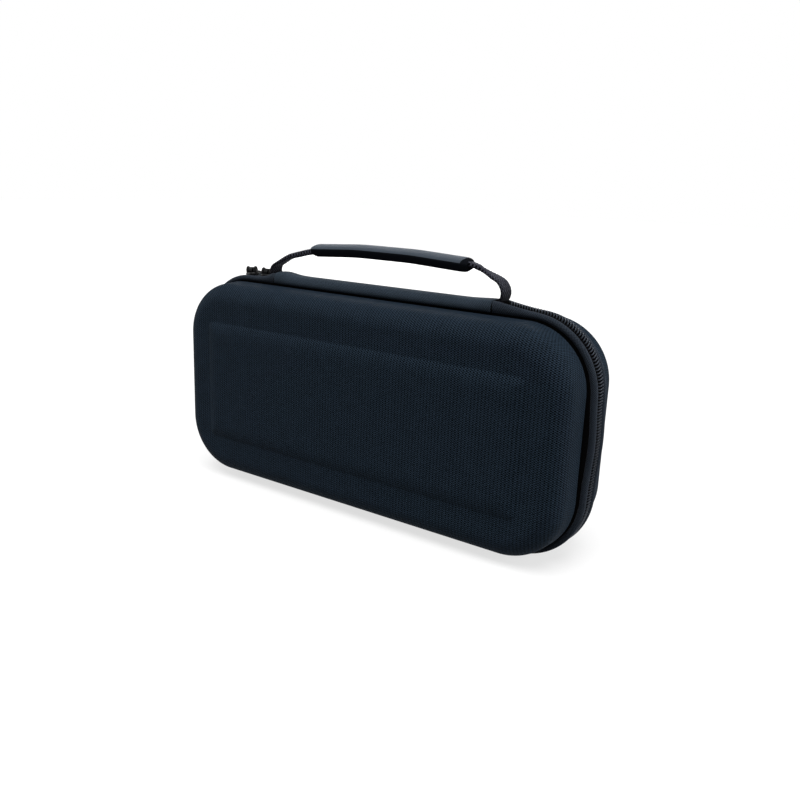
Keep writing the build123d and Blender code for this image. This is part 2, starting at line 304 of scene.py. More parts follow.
def end_lift(x, z, fade=CLIMB_FADE):
    """Beside the ends of the spine strip the rim climbs up to it: its height grows as the share of the
    run to the power of fade, later on the left where the pull tabs lie, and under the strip it drops
    back."""
    climb = np.clip((CLIMB_START - np.abs(x)) / CLIMB_RUN, 0, 1) ** np.where(x < 0, LEFT_FADE, fade)
    drop = np.clip((np.abs(x) - DROP_END) / DROP_RUN, 0, 1)
    return np.where(z > CENTRE_Z + CORE_Z, CLIMB_HEIGHT * climb * drop, 0.0)


ZIP_PLACES = np.array((73.0, 77.0, 96.0, 118.0, 140.0, 152.0))
ZIP_PROUD = np.array((0.0, 0.9, 1.1, 1.1, 0.5, 0.0))


def zip_lift(along):
    """The zip is pushed out by its own stiffness beside the strip's right end and round the corner after
    it: the climb of the rim there plus a table of heights by length along the rim."""
    x, z, _, _ = rim_line(along)
    return np.where(x > 0, end_lift(x, z) + np.interp(along, ZIP_PLACES, ZIP_PROUD), 0.0)


def carry_round(along, outward, depth, bulge=1.0, lift=0.0, fade=CLIMB_FADE):
    """Carries a profile along the rim: a point stands outward from the line and at its own depth across
    the zip. Arrays come out as lengths by profile points. Lift is each point's share of the climb
    beside the strip, or, as a column, a height in millimetres at each length."""
    x, z, out_x, out_z = (a[:, None] for a in rim_line(along))
    climb = end_lift(x, z, fade) if np.ndim(lift) < 2 else 1.0
    reach = outward + bulge * rim_bulge(x, z) + lift * climb
    y = np.broadcast_to(depth, np.broadcast_shapes(np.shape(depth), reach.shape))
    return np.stack((x + reach * out_x, y, z + reach * out_z), axis=-1)


def plan_lines(core, corner_lines, straight):
    """Grid lines of the plan: a fixed part, which stops at the corner centres, and a signed share of the
    corner."""
    shares = np.concatenate((-corner_lines[::-1], np.zeros(len(straight)), corner_lines))
    fixed = np.concatenate((np.full(len(corner_lines), -core), straight, np.full(len(corner_lines), core)))
    return fixed, shares


# A corner's grid lines lie closest where the outline of the raised rectangle crosses it.
CORNER_LINES = np.unique(np.concatenate((
    np.linspace(0.06, 0.24, 4), np.arange(0.24, 0.56, 0.02), np.linspace(0.56, 1.0, 10)))).round(4)
PLAN_X = plan_lines(CORE_X, CORNER_LINES, np.linspace(-CORE_X, CORE_X, 33))
PLAN_Z = plan_lines(CORE_Z, CORNER_LINES, np.linspace(-CORE_Z, CORE_Z, 11))
PLAN_ROWS, PLAN_COLUMNS = len(PLAN_Z[0]), len(PLAN_X[0])


def plan_grid(outward):
    """The plan moved outward, as a grid: in a corner the point at shares a, b lies at a times the root of
    1 - b squared / 2, and b times the root of 1 - a squared / 2, of the corner's radius."""
    fixed_x, share_x = PLAN_X[0][None, :], PLAN_X[1][None, :]
    fixed_z, share_z = PLAN_Z[0][:, None], PLAN_Z[1][:, None]
    radius = CORNER + outward
    x = fixed_x + radius * share_x * np.sqrt(1 - share_z ** 2 / 2)
    z = fixed_z + radius * share_z * np.sqrt(1 - share_x ** 2 / 2)
    return x, z


def plan_border():
    """Numbers of the grid's border points in order, once round."""
    number = np.arange(PLAN_ROWS * PLAN_COLUMNS).reshape(PLAN_ROWS, PLAN_COLUMNS)
    return np.concatenate((number[0, :-1], number[:-1, -1], number[-1, :0:-1], number[:0:-1, 0]))


BORDER = plan_border()
print("rim length", round(RIM_LENGTH, 1), "mm; plan grid", PLAN_ROWS, "by", PLAN_COLUMNS)


# %% [markdown]
# A moulded half and the foam tray are both dishes: a floor, walls that go round it, and a second floor on
# the other side. One function joins them: two plan grids with their own depths, and rings between their
# borders. The flat map unrolls the walls outward from the floor, as the cloth lay before it was pressed
# into the mould.


# %% Dish builder
def dish(first_out, first_depth, rings, last_out, last_depth):
    """Points, faces, flat map and the first floor's face count. Each ring is (outward, depth); the
    depths of the floors are functions of x and z. The map adds the length of the wall to the border,
    along its own direction."""
    x, z = plan_grid(first_out)
    floor_points = np.stack((x, first_depth(x, z), z), axis=-1).reshape(-1, 3)
    x, z = plan_grid(last_out)
    last_points = np.stack((x, last_depth(x, z), z), axis=-1).reshape(-1, 3)
    ring_points = []
    for outward, depth in rings:
        x, z = (a.ravel()[BORDER] for a in plan_grid(outward))
        ring_points.append(np.stack((x, np.full(len(x), depth), z), axis=-1))
    around = len(BORDER)
    points = np.concatenate((floor_points, *ring_points, last_points))
    grid = strip_faces(PLAN_ROWS, PLAN_COLUMNS)
    walls = strip_faces(len(rings), around, close_columns=True) + len(floor_points)
    last_start = len(floor_points) + len(rings) * around
    number = np.arange(around)
    after = np.roll(number, -1)
    first_ring = len(floor_points)
    first_seam = np.stack((BORDER, np.roll(BORDER, -1), after + first_ring, number + first_ring), -1)
    last_ring = last_start - around
    last_border = BORDER + last_start
    last_seam = np.stack((number + last_ring, after + last_ring, np.roll(last_border, -1), last_border), -1)
    faces = np.concatenate((grid, first_seam, walls, last_seam, grid + last_start))
    border_points = np.concatenate((
        floor_points[BORDER][None], np.stack(ring_points), last_points[BORDER][None]))
    wall = np.cumsum(np.linalg.norm(np.diff(border_points, axis=0), axis=2).mean(axis=1))
    edge = floor_points[BORDER][:, (0, 2)]
    core = np.clip(edge, (-CORE_X, -CORE_Z), (CORE_X, CORE_Z))
    away = (edge - core) / np.linalg.norm(edge - core, axis=1)[:, None]
    unrolled = edge[None] + wall[:-1, None, None] * away[None]
    flat = np.concatenate((floor_points[:, (0, 2)], unrolled.reshape(-1, 2), last_points[:, (0, 2)]))
    return points, faces, flat, len(grid)


# %% [markdown]
# The outside of the case is woven polyester, dyed a blue black and bonded to foam in a hot press. It is
# matt with hardly any gloss, so light and shade alone show the mould's form. Narrow tapes of the same yarn
# have loose fibre ends that catch light at a slant, which is sheen. The shell's threads are about 0.5 and
# 0.8 mm apart; they are drawn at 0.58 and 0.96 mm, because finer ones would not show.


# %% Woven polyester
def woven_cloth(name, dark, light, sheen, thread, depth, roughness=0.85, gloss=0.02, sheen_colour="#c4e4f4",
                sheen_spread=0.36, mottle=0.10, pick=1.0, rib=0.0, foot_shade=None):
    """A plain weave: the product of two sines is high where the warp crosses over and low where the weft
    does. A constant added to the weft's sine, the rib, lets the columns of the warp show through.
    Noise of a thread's size makes the crossings uneven, and broad noise fades the dye a little in
    patches. The foot shade, for a strap, is painted shade towards both its ends: its length, two
    distances from its nearer end and a share; the tone grows from that share at the first distance to the
    whole at the second."""
    material, tree = new_material(name)
    place = add_node(tree, "ShaderNodeUVMap", uv_map="cloth")
    across = add_node(tree, "ShaderNodeSeparateXYZ", {0: place.outputs[0]})
    waves = []
    for axis, spacing in (("X", thread * pick), ("Y", thread)):
        turned = add_node(tree, "ShaderNodeMath", {
            0: across.outputs[axis], 1: math.pi / spacing}, operation="MULTIPLY")
        waves.append(add_node(tree, "ShaderNodeMath", {0: turned.outputs[0]}, operation="SINE"))
    weft = add_node(tree, "ShaderNodeMath", {0: waves[1].outputs[0], 1: rib}, operation="ADD")
    crossing = add_node(tree, "ShaderNodeMath", {
        0: waves[0].outputs[0], 1: weft.outputs[0]}, operation="MULTIPLY")
    raised = add_node(tree, "ShaderNodeMapRange", {
        "Value": crossing.outputs[0], "From Min": -0.5, "From Max": 0.5}, interpolation_type="SMOOTHSTEP")
    fibre = add_node(tree, "ShaderNodeTexNoise", {
        "Vector": place.outputs[0], "Scale": 0.9 / thread, "Detail": 2.0})
    uneven = add_node(tree, "ShaderNodeMapRange", {
        "Value": fibre.outputs[0], "From Min": 0.3, "From Max": 0.7, "To Min": 0.45, "To Max": 1.55})
    cloud = add_node(tree, "ShaderNodeTexNoise", {
        "Vector": place.outputs[0], "Scale": 1 / 9.0, "Detail": 3.0})
    patch = add_node(tree, "ShaderNodeMapRange", {
        "Value": cloud.outputs[0], "From Min": 0.3, "From Max": 0.7,
        "To Min": -mottle / 2, "To Max": mottle / 2})
    tone = add_node(tree, "ShaderNodeMath", {
        0: raised.outputs[0], 1: uneven.outputs[0], 2: patch.outputs[0]}, operation="MULTIPLY_ADD")
    # Painted shade: the tone falls towards both ends of the strap, where it goes under the strip.
    if foot_shade:
        strap_length, darkest_run, whole, share = foot_shade
        nearest = add_node(tree, "ShaderNodeMath", {
            0: across.outputs["X"], 1: strap_length / 2}, operation="PINGPONG")
        spread = add_node(tree, "ShaderNodeMapRange", {
            "Value": nearest.outputs[0], "From Min": darkest_run, "From Max": whole,
            "To Min": share, "To Max": 1.0})
        tone = add_node(tree, "ShaderNodeMath", {
            0: tone.outputs[0], 1: spread.outputs[0]}, operation="MULTIPLY")
    colour = add_node(tree, "ShaderNodeMix", {
        "Factor": tone.outputs[0], "A": linear(dark), "B": linear(light)}, data_type="RGBA")
    bump = add_node(tree, "ShaderNodeBump", {
        "Height": tone.outputs[0], "Strength": 0.6, "Distance": depth * METRE})
    cloth = add_node(tree, "ShaderNodeBsdfPrincipled", {
        "Base Color": colour.outputs["Result"], "Normal": bump.outputs[0], "Roughness": roughness,
        "Specular IOR Level": gloss, "Sheen Weight": sheen, "Sheen Roughness": sheen_spread,
        "Sheen Tint": linear(sheen_colour)})
    finish_material(tree, cloth.outputs[0])
    return material


# Pressed and matt: a blue black with a fine grain of dark gaps in upright columns.
shell_cloth = woven_cloth("woven_polyester_on_foam", "#010405", "#273340", 0.0, 0.58, 0.2, roughness=0.65,
                          gloss=0.02, pick=1.65, rib=0.35)
# Brushed and soft: a plain dark grey with a pale bloom at a slant.
lining_cloth = woven_cloth("brushed_tricot_lining", "#35383c", "#54585e", 0.25, 1.1, 0.10)
# Nearly black: painted shade deep in the groove and behind the piping, and the black hems of the strip.
# nearly black.
seam_and_groove_shade_black = woven_cloth("black_seam_and_painted_groove_shade", "#010101", "#050506", 0.0, 0.9, 0.1, gloss=0.05)
print("cloth finishes:", shell_cloth.name, "and", lining_cloth.name)

# %% [markdown]
# Each half is a pressed dish with drafted walls, a large round edge and one raised rectangle on its broad
# face. The rectangle rises sharply at its foot and levels out slowly, so it is a function of the distance
# to its outline. Where the wall meets the seam the cloth dives inward, and the last rings of the groove
# beside the piping are painted black as shade.

# %% Moulded halves
SHELL_DEPTH, WALL, RIM_DEPTH = 29.0, 4.0, 3.6
DRAFT = math.tan(math.radians(3.3))
FACE_ROUND = 11.0
PANEL_HALF = np.array((105.0, 35.5))
PANEL_CORNER, PANEL_RAISE, PANEL_REACH, PANEL_POWER = 4.0, 1.8, 9.5, 2.6
GROOVE_SHADE_RINGS = 4


def panel_rise(x, z):
    """Height of the raised rectangle: nought outside its outline, then 1 - (1 - t) to a power, times its
    full height, where t is the distance inside the outline as a share of the reach."""
    past = np.stack((np.abs(x) - PANEL_HALF[0], np.abs(z) - PANEL_HALF[1])) + PANEL_CORNER
    outside = np.hypot(*np.maximum(past, 0)) + np.minimum(past.max(axis=0), 0) - PANEL_CORNER
    share = np.clip(-outside / PANEL_REACH, 0, 1)
    return PANEL_RAISE * (1 - (1 - share) ** PANEL_POWER)


def round_edge(outward, depth, radius, start, end, count):
    """A quarter of a circle in the (outward, depth) plane, between two angles from the outward
    direction."""
    angle = np.radians(np.linspace(start, end, count))
    return list(zip(outward + radius * np.cos(angle), depth + radius * np.sin(angle)))


def wall_inset(depth):
    """How far the drafted wall has come in at a depth."""
    return (depth - RIM_DEPTH) * DRAFT


edge_depth = SHELL_DEPTH - FACE_ROUND
edge_out = -wall_inset(edge_depth) - FACE_ROUND
groove_start, groove_out, groove_depth = 10.5, -2.2, 6.9
outer_rings = round_edge(edge_out, edge_depth, FACE_ROUND, 86, 3.3, 13)
outer_rings += [(-wall_inset(d), d) for d in np.linspace(edge_depth - 1.0, groove_start, 6)]
turn_in = np.radians(np.linspace(12, 90, 8))
groove_reach = -wall_inset(groove_start) - groove_out
outer_rings += list(zip(groove_out + groove_reach * np.cos(turn_in),
                        groove_start - (groove_start - groove_depth) * np.sin(turn_in)))
outer_rings += [(groove_out, 6.4), (groove_out, RIM_DEPTH)]
cavity_depth, cavity_round = SHELL_DEPTH - WALL, FACE_ROUND - WALL
inner_depth = cavity_depth - cavity_round
inner_out = -WALL - wall_inset(inner_depth) - cavity_round
inner_rings = [(-WALL - wall_inset(d), d) for d in np.linspace(RIM_DEPTH, inner_depth - 0.5, 6)]
inner_rings += round_edge(inner_out, inner_depth, cavity_round, 3.3, 86, 8)


def half_shell(name, side, body):
    """One moulded half: the outer face with its rectangle, walls, rim, lining and inner floor."""
    face = lambda x, z: SHELL_DEPTH + panel_rise(x, z)
    lining = lambda x, z: np.full(x.shape, cavity_depth)
    points, faces, flat, face_count = dish(edge_out, face, outer_rings + inner_rings, inner_out, lining)
    points[:, 1] *= side
    points[:, 2] += CENTRE_Z
    kinds = np.zeros(len(faces), int)
    inside_start = face_count + len(BORDER) * len(outer_rings)
    kinds[inside_start:] = 1
    # Painted shade: the last rings before the seam take the black material.
    kinds[inside_start - GROOVE_SHADE_RINGS * len(BORDER):inside_start] = 2
    return make_piece(name, points, faces, (shell_cloth, lining_cloth, seam_and_groove_shade_black), body,
                      (name.replace("_cover", "_shell"),), flat, kinds)


front_cover = half_shell("front_cover", -1, "lid")
rear_cover = half_shell("rear_cover", 1, "base")

# %% [markdown]
# Round each rim runs a piping: a strip of fine woven tape wrapped round a soft core and sewn into the seam
# with a flat tail. A bevelled curve would give a plain tube; here a circle with a tail is carried along the
# rim's line, so the tail closes the seam behind the groove, and the tail is painted black as shade. Its
# cloth is closer and greyer than the shell's.

# %% Piping
# Close woven tape: greyer than the shell, nearly even, a little paler at a slant.
binding_cloth = woven_cloth("close_woven_piping_tape", "#0f1217", "#323942", 0.12, 0.5, 0.10,
                            sheen_colour="#cfd8ea")
PIPING_ROUND, PIPING_OUT, PIPING_DEPTH = 1.68, 1.42, 5.1


def closed_length(outline):
    """Length along a closed outline up to each of its points."""
    return np.concatenate(((0.0,), np.cumsum(np.linalg.norm(np.diff(outline, axis=0), axis=1))))


def ring_piece(name, along, outline, side, materials, body, stands_for, closed, bulge=1.0, lift=0.0,
               fade=CLIMB_FADE, kinds=None):
    """Carries a closed outline of (outward, depth) points along the rim, and caps the ends if the run is
    open. The flat map is the length along the rim by the length along the outline."""
    points = carry_round(along, outline[:, 0], outline[:, 1] * side, bulge, lift, fade)
    rows, columns = points.shape[:2]
    faces = strip_faces(rows, columns, True, True) if closed else tube_faces(rows, columns)
    if kinds is not None:
        kinds = np.tile(kinds, rows)
    flat = np.stack(np.meshgrid(along, closed_length(outline), indexing="ij"), axis=-1)
    return make_piece(name, points.reshape(-1, 3), faces, materials, body, stands_for,
                      flat.reshape(-1, 2), kinds)


turn = np.radians(np.linspace(-146, 146, 19))
piping_outline = np.concatenate((
    np.stack((PIPING_OUT + PIPING_ROUND * np.cos(turn), PIPING_DEPTH + PIPING_ROUND * np.sin(turn)), axis=-1),
    ((-2.2, PIPING_DEPTH + 0.8), (-2.2, PIPING_DEPTH - 0.8))))
# Painted shade: the tail's three faces take the black material.
piping_kinds = np.concatenate((np.zeros(18, int), np.ones(3, int)))
piping_low = PIPING_OUT - PIPING_ROUND
piping_lift = np.clip((piping_outline[:, 0] - piping_low) / (2 * PIPING_ROUND), 0, 1)
piping_bulge = np.where(piping_outline[:, 0] < piping_low, 0.0, 1.0)
rim_all = np.linspace(0, RIM_LENGTH, 480, endpoint=False)
ring_piece("front_piping", rim_all, piping_outline, -1, (binding_cloth, seam_and_groove_shade_black), "lid",
           ("front_binding",), True, piping_bulge, piping_lift, kinds=piping_kinds)
ring_piece("rear_piping", rim_all, piping_outline, 1, (binding_cloth, seam_and_groove_shade_black), "base",
           ("rear_binding",), True, piping_bulge, piping_lift, REAR_FADE, piping_kinds)

# %% [markdown]
# The zip is a nylon coil sewn to two knitted tapes, with a filler cord inside its loops. Each row of the
# coil is one wire wound into hundreds of loops, and the two rows hook into each other in the middle. A
# helix would need thousands of faces, so each loop is a short bent tube of a few dozen faces that leans
# along the zip, and the loops of both rows meet in the middle. The tapes carry the filler cord in their
# outline and just overlap there.

# %% Zip tapes
# Knitted tape: a black tape, drawn darker than cloth can be as painted shade, so the gaps between the loops
# stay dark.
tape_cloth = woven_cloth("knitted_zip_tape", "#010101", "#060607", 0.0, 0.8, 0.12, sheen_colour="#8a8a90")
SPINE_END, TAPE_TUCK, COIL_END = 73.0, 3.0, 80.2
tape_run = np.linspace(SPINE_END - TAPE_TUCK, RIM_LENGTH - SPINE_END + TAPE_TUCK, 400)
tape_outline = np.array((
    (1.10, 3.9), (1.45, 3.2), (1.60, 2.3), (1.75, 1.95), (2.10, 1.65), (2.26, 1.2), (2.20, 0.7), (1.95, 0.38),
    (1.60, 0.10), (1.45, -0.05), (1.25, -0.05), (1.08, 0.10), (1.05, 0.6), (1.05, 2.4), (0.90, 3.2),
    (0.60, 3.9)))
tape_lift = zip_lift(tape_run)[:, None]
ring_piece("front_tape", tape_run, tape_outline, -1, (tape_cloth,), "lid",
           ("front_zip_tape",), False, lift=tape_lift)
ring_piece("rear_tape", tape_run, tape_outline, 1, (tape_cloth,), "base",
           ("rear_zip_tape",), False, lift=tape_lift)

# %% Nylon coil
# Drawn nylon: dark grey and satin, so each loop shows as a pale bar.
coil_nylon, tree = new_material("black_nylon_monofilament")
grain = add_node(tree, "ShaderNodeTexCoord")
haze = add_node(tree, "ShaderNodeTexNoise", {
    "Vector": grain.outputs["Object"], "Scale": 700.0, "Detail": 2.0})
shade = add_node(tree, "ShaderNodeMix", {
    "Factor": haze.outputs[0], "A": linear("#272b31"), "B": linear("#343941")}, data_type="RGBA")
matt = add_node(tree, "ShaderNodeMapRange", {"Value": haze.outputs[0], "To Min": 0.40, "To Max": 0.55})
nylon = add_node(tree, "ShaderNodeBsdfPrincipled", {
    "Base Color": shade.outputs["Result"], "Roughness": matt.outputs[0], "IOR": 1.53,
    "Specular IOR Level": 0.12, "Specular Tint": linear("#cfe0f4")})
finish_material(tree, nylon.outputs[0])

COIL_PITCH, WIRE_SIDES = 1.45, 6
COIL_LEAN = (0.10, 1.10)
LOOP_DEPTH = np.array((2.10, 2.04, 1.78, 1.30, 0.80, 0.36, 0.04))
LOOP_OUT = np.array((1.60, 2.15, 2.58, 2.72, 2.72, 2.64, 2.50))
LOOP_WIRE = np.array((0.26, 0.26, 0.27, 0.28, 0.28, 0.28, 0.28))


def coil_row(name, side, body, stands_for):
    """One row of loops. Each wire's circle stands across the loop's path: one axis runs along the zip,
    the other is the path's own normal in the plane of outward and depth. The loops of both rows lean
    as one line across the zip, a little on the short sides and more where the rim runs level."""
    starts = np.arange(COIL_END, RIM_LENGTH - COIL_END, COIL_PITCH)
    run = np.stack((np.gradient(LOOP_OUT), np.gradient(LOOP_DEPTH)))
    run /= np.linalg.norm(run, axis=0)
    round_wire = np.linspace(0, 2 * math.pi, WIRE_SIDES, endpoint=False)
    lift = LOOP_WIRE[:, None] * np.sin(round_wire)[None, :]
    outward = LOOP_OUT[:, None] + lift * -run[1][:, None]
    depth = LOOP_DEPTH[:, None] + lift * run[0][:, None]
    level = np.abs(rim_line(starts)[3])
    slant = -side * LOOP_DEPTH / LOOP_DEPTH[0]
    lean = np.interp(level, (0, 1), COIL_LEAN)[:, None, None] * slant[None, :, None]
    ahead = LOOP_WIRE[:, None] * np.cos(round_wire)[None, :]
    along = (starts[:, None, None] + lean + ahead[None]).reshape(-1)
    x, z, out_x, out_z = rim_line(along)
    reach = np.tile(outward.ravel(), len(starts)) + rim_bulge(x, z) + zip_lift(along)
    y = side * np.tile(depth.ravel(), len(starts))
    points = np.stack((x + reach * out_x, y, z + reach * out_z), axis=-1)
    tube = strip_faces(len(LOOP_OUT), WIRE_SIDES, False, True)
    caps = np.array(((0, 1, 2, 3), (0, 3, 4, 5)))
    one = np.concatenate((tube, caps, caps + (len(LOOP_OUT) - 1) * WIRE_SIDES))
    count = len(LOOP_OUT) * WIRE_SIDES
    faces = (one[None] + (np.arange(len(starts)) * count)[:, None, None]).reshape(-1, 4)
    return make_piece(name, points, faces, (coil_nylon,), body, stands_for, crisp=60.0)


coil_row("front_coil_loops", -1, "lid", ("front_zip_coil",))
coil_row("rear_coil_loops", 1, "base", ("rear_zip_coil",))

# %% [markdown]
# Along the top a strip of the piping's cloth covers both rims between the ends of the zip. It is domed, it
# rolls down over both pipings, and it lifts a little where the ends of the handle are tucked under it. When
# the case opens, the strip bends along its edges; here it is made as two halves that meet on the middle
# line, and neither half is attached to a body.

# %% Spine strip
SPINE_OUTER = np.array((
    (0.0, 126.70), (1.6, 126.65), (3.1, 126.45), (4.4, 126.10), (5.4, 125.60), (6.2, 124.95), (6.8, 124.1),
    (7.1, 123.2), (7.15, 122.4), (7.0, 121.8), (6.8, 121.45)))
SPINE_SHOULDER = np.array((0.0, 0.05, 0.25, 0.65, 1.10, 1.25, 1.10, 0.75, 0.35, 0.10, 0.0))
SPINE_INNER = np.array((
    (6.5, 121.5), (6.55, 122.4), (6.35, 123.3), (5.8, 124.05), (4.8, 124.35), (3.0, 124.4), (0.0, 124.4)))
SPINE_HALF = 7.2
SPINE_HEM, HEM_PINCH = np.array((72.4, 72.75, 72.92, 73.0)), (0.0, 0.12, 0.28, 0.55)
LEFT_SWELL, RIGHT_SWELL, SWELL_PLACE, SWELL_RUN = 1.5, 0.65, 69.0, 8.0


def spine_half(name, side):
    """A section from the middle line out and back, carried along X. Near its ends it rises on a bell
    curve, most in the middle, its shoulders grow square, and its last 0.6 mm closes in like a folded
    hem, black with thread."""
    section = np.concatenate((SPINE_OUTER, SPINE_INNER))
    x = np.concatenate((-SPINE_HEM[::-1], np.linspace(-71, 71, 72), SPINE_HEM))
    pinch = np.interp(np.abs(x), SPINE_HEM, HEM_PINCH)
    swell = np.where(x < 0, LEFT_SWELL, RIGHT_SWELL) * np.exp(-(((np.abs(x) - SWELL_PLACE) / SWELL_RUN) ** 2))
    outside = np.concatenate((np.ones(len(SPINE_OUTER)), np.zeros(len(SPINE_INNER))))
    crown = outside * (1 - (section[:, 0] / SPINE_HALF) ** 2)
    shoulder = np.concatenate((SPINE_SHOULDER, np.zeros(len(SPINE_INNER))))
    square = np.exp(-(((np.abs(x) - SPINE_END) / SWELL_RUN) ** 2))
    z = section[None, :, 1] + swell[:, None] * crown[None] + square[:, None] * shoulder[None]
    opposite = np.interp(section[:, 0], (0.0, 4.8, 5.8, 6.5), (125.5, 125.2, 124.7, 122.5))
    z = z + (opposite[None] - z) * pinch[:, None]
    y = np.broadcast_to(section[None, :, 0] * side, z.shape)
    points = np.stack((np.broadcast_to(x[:, None], z.shape), y, z), axis=-1)
    rows, columns = z.shape
    faces = tube_faces(rows, columns)
    kinds = np.zeros((rows - 1, columns), int)
    kinds[:len(SPINE_HEM) - 1] = 1
    kinds[1 - len(SPINE_HEM):] = 1
    kinds = np.concatenate((kinds.ravel(), np.ones(len(faces) - kinds.size, int)))
    flat = np.stack(np.meshgrid(x, closed_length(section) * side, indexing="ij"), axis=-1)
    made = make_piece(name, points.reshape(-1, 3), faces, (spine_cloth, seam_and_groove_shade_black), None,
                      ("spine_panel",), flat.reshape(-1, 2), kinds, crisp=60.0)
    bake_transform(made)
    return made


# The strip's weave is as close as the piping's, with a cooler dye.
spine_cloth = woven_cloth("woven_spine_strip", "#12171b", "#353f4a", 0.12, 0.5, 0.10, sheen_colour="#cfe0f0")
spine_half("front_spine", -1)
spine_half("rear_spine", 1)

# %% [markdown]
# The handle is one length of ribbed webbing, 10 mm wide, with its ends folded under the strip. Towards the
# grip it is rolled up, so it grows narrow and thick. It is modelled directly: a flat outline with soft
# edges is carried along a line of straight runs and arcs, its width and thickness change on the way, and a
# ripple gives the ribs.


# %% Handle line
def rounded_line(corners, radii, spacing):
    """Points along straight runs joined by tangent arcs. An arc starts at radius times the tangent of
    half the turn before its corner; points on it step round the arc's centre."""
    corners = np.array(corners, float)
    runs = np.diff(corners, axis=0)
    runs /= np.linalg.norm(runs, axis=1)[:, None]
    line = [corners[:1]]
    for corner, before, after, radius in zip(corners[1:-1], runs[:-1], runs[1:], radii):
        bend = math.atan2(before[0] * after[1] - before[1] * after[0], before @ after)
        start = corner - before * radius * math.tan(abs(bend) / 2)
        inward = np.array((-before[1], before[0])) * math.copysign(1.0, bend)
        steps = np.linspace(0, 1, max(3, int(abs(bend) * radius / spacing) + 2))[:, None] * abs(bend)
        line.append(start + radius * (np.sin(steps) * before + (1 - np.cos(steps)) * inward))
    line = np.concatenate(line + [corners[-1:]])
    length = np.concatenate(((0.0,), np.cumsum(np.linalg.norm(np.diff(line, axis=0), axis=1))))
    even = np.linspace(0, length[-1], int(length[-1] / spacing) + 1)
    return np.stack((np.interp(even, length, line[:, 0]), np.interp(even, length, line[:, 1])), axis=-1), even


HANDLE_POINTS = ((-60, 124.9), (-76.4, 124.9), (-77.9, 130.4), (-66.0, 137.2), (-48.5, 141.6), (-14.5, 144.2),
                 (21.5, 144.2), (57.4, 143.4), (74.4, 136.2), (77.5, 130.8), (74.6, 124.9), (60, 124.9))
HANDLE_RADII = (1.3, 4, 20, 60, 200, 200, 22, 7, 6, 1.3)


def carry_line(line, outline):
    """Carries an outline of (across, up) points along a line in the XZ plane. Arrays: line points by
    outline points."""
    run = np.gradient(line, axis=0)
    run /= np.linalg.norm(run, axis=1)[:, None]
    up = np.stack((-run[:, 1], run[:, 0]), axis=-1)
    place = line[:, None, :] + up[:, None, :] * outline[..., 1, None]
    across = np.broadcast_to(outline[..., 0], place.shape[:2])
    return np.stack((place[..., 0], across, place[..., 1]), axis=-1)


# %% Webbing
RIB_PITCH, RIB_DEPTH = 1.7, 0.05
# Painted shade on the strap: the tone is a share of itself near either end and whole past a distance.
FOOT_SHADE_DARKEST, FOOT_SHADE_END, FOOT_SHADE_SHARE = 16.0, 29.0, 0.08
STRAP_PLACES = np.array((-78.0, -72.0, -66.0, -60.0, -52.0, -48.0, 57.0, 60.8, 62.6, 66.0, 70.0, 74.0))
STRAP_HALF = np.array((5.0, 4.1, 3.0, 2.3, 1.9, 1.9, 2.4, 2.3, 1.6, 2.3, 4.3, 5.0))
STRAP_THICK = np.array((1.6, 2.2, 2.9, 3.3, 3.4, 3.4, 2.6, 2.8, 2.4, 2.3, 2.2, 1.7))
FOOT_LEVEL, FOOT_THICK = 126.0, 1.4
handle_line, handle_along = rounded_line(HANDLE_POINTS, HANDLE_RADII, 0.31)
# Webbing of stout yarn: black gaps between grey ribs, and painted shade towards its feet under the strip.
webbing_cloth = woven_cloth("ribbed_polypropylene_webbing", "#030304", "#41424c", 0.12, 1.0, 0.2,
                            sheen_colour="#d0d4dc", roughness=0.7,
                            foot_shade=(handle_along[-1], FOOT_SHADE_DARKEST, FOOT_SHADE_END, FOOT_SHADE_SHARE))
angle = np.linspace(0, 2 * math.pi, 22, endpoint=False)
edge_shape = np.stack((signed_power(np.cos(angle), 0.55), signed_power(np.sin(angle), 0.45)), axis=-1)
rib = 1 - RIB_DEPTH + RIB_DEPTH * np.cos(2 * math.pi * handle_along / RIB_PITCH)
strap_half = np.interp(handle_line[:, 0], STRAP_PLACES, STRAP_HALF)
strap_thick = np.interp(handle_line[:, 0], STRAP_PLACES, STRAP_THICK)
in_foot = handle_line[:, 1] < FOOT_LEVEL
strap_half = np.where(in_foot, STRAP_HALF[0], strap_half)
strap_thick = np.where(in_foot, FOOT_THICK, strap_thick)
webbing_outline = edge_shape[None] * np.stack((strap_half, rib * strap_thick / 2), axis=-1)[:, None, :]
webbing_points = carry_line(handle_line, webbing_outline)
webbing_faces = tube_faces(*webbing_points.shape[:2])
flat_width = closed_length(edge_shape * (STRAP_HALF[0], FOOT_THICK / 2))
webbing_flat = np.stack(np.meshgrid(handle_along, flat_width, indexing="ij"), axis=-1)
make_piece("webbing_strap", webbing_points.reshape(-1, 3), webbing_faces, (webbing_cloth,), "spine",
           ("handle_webbing",), webbing_flat.reshape(-1, 2), crisp=60.0)
print("the webbing runs", round(handle_along[-1], 1), "mm")

# %% [markdown]
# Round the middle of the webbing a padded sleeve makes the grip. Its cloth is painted in two tones for the
# light that falls on it: a lit grey on top, and a shaded black round the sides and on its ends, which are
# drawn together round the webbing. The handle leans a little to the front, so its box-shaped section is
# turned by that angle before it is carried along the arched line.

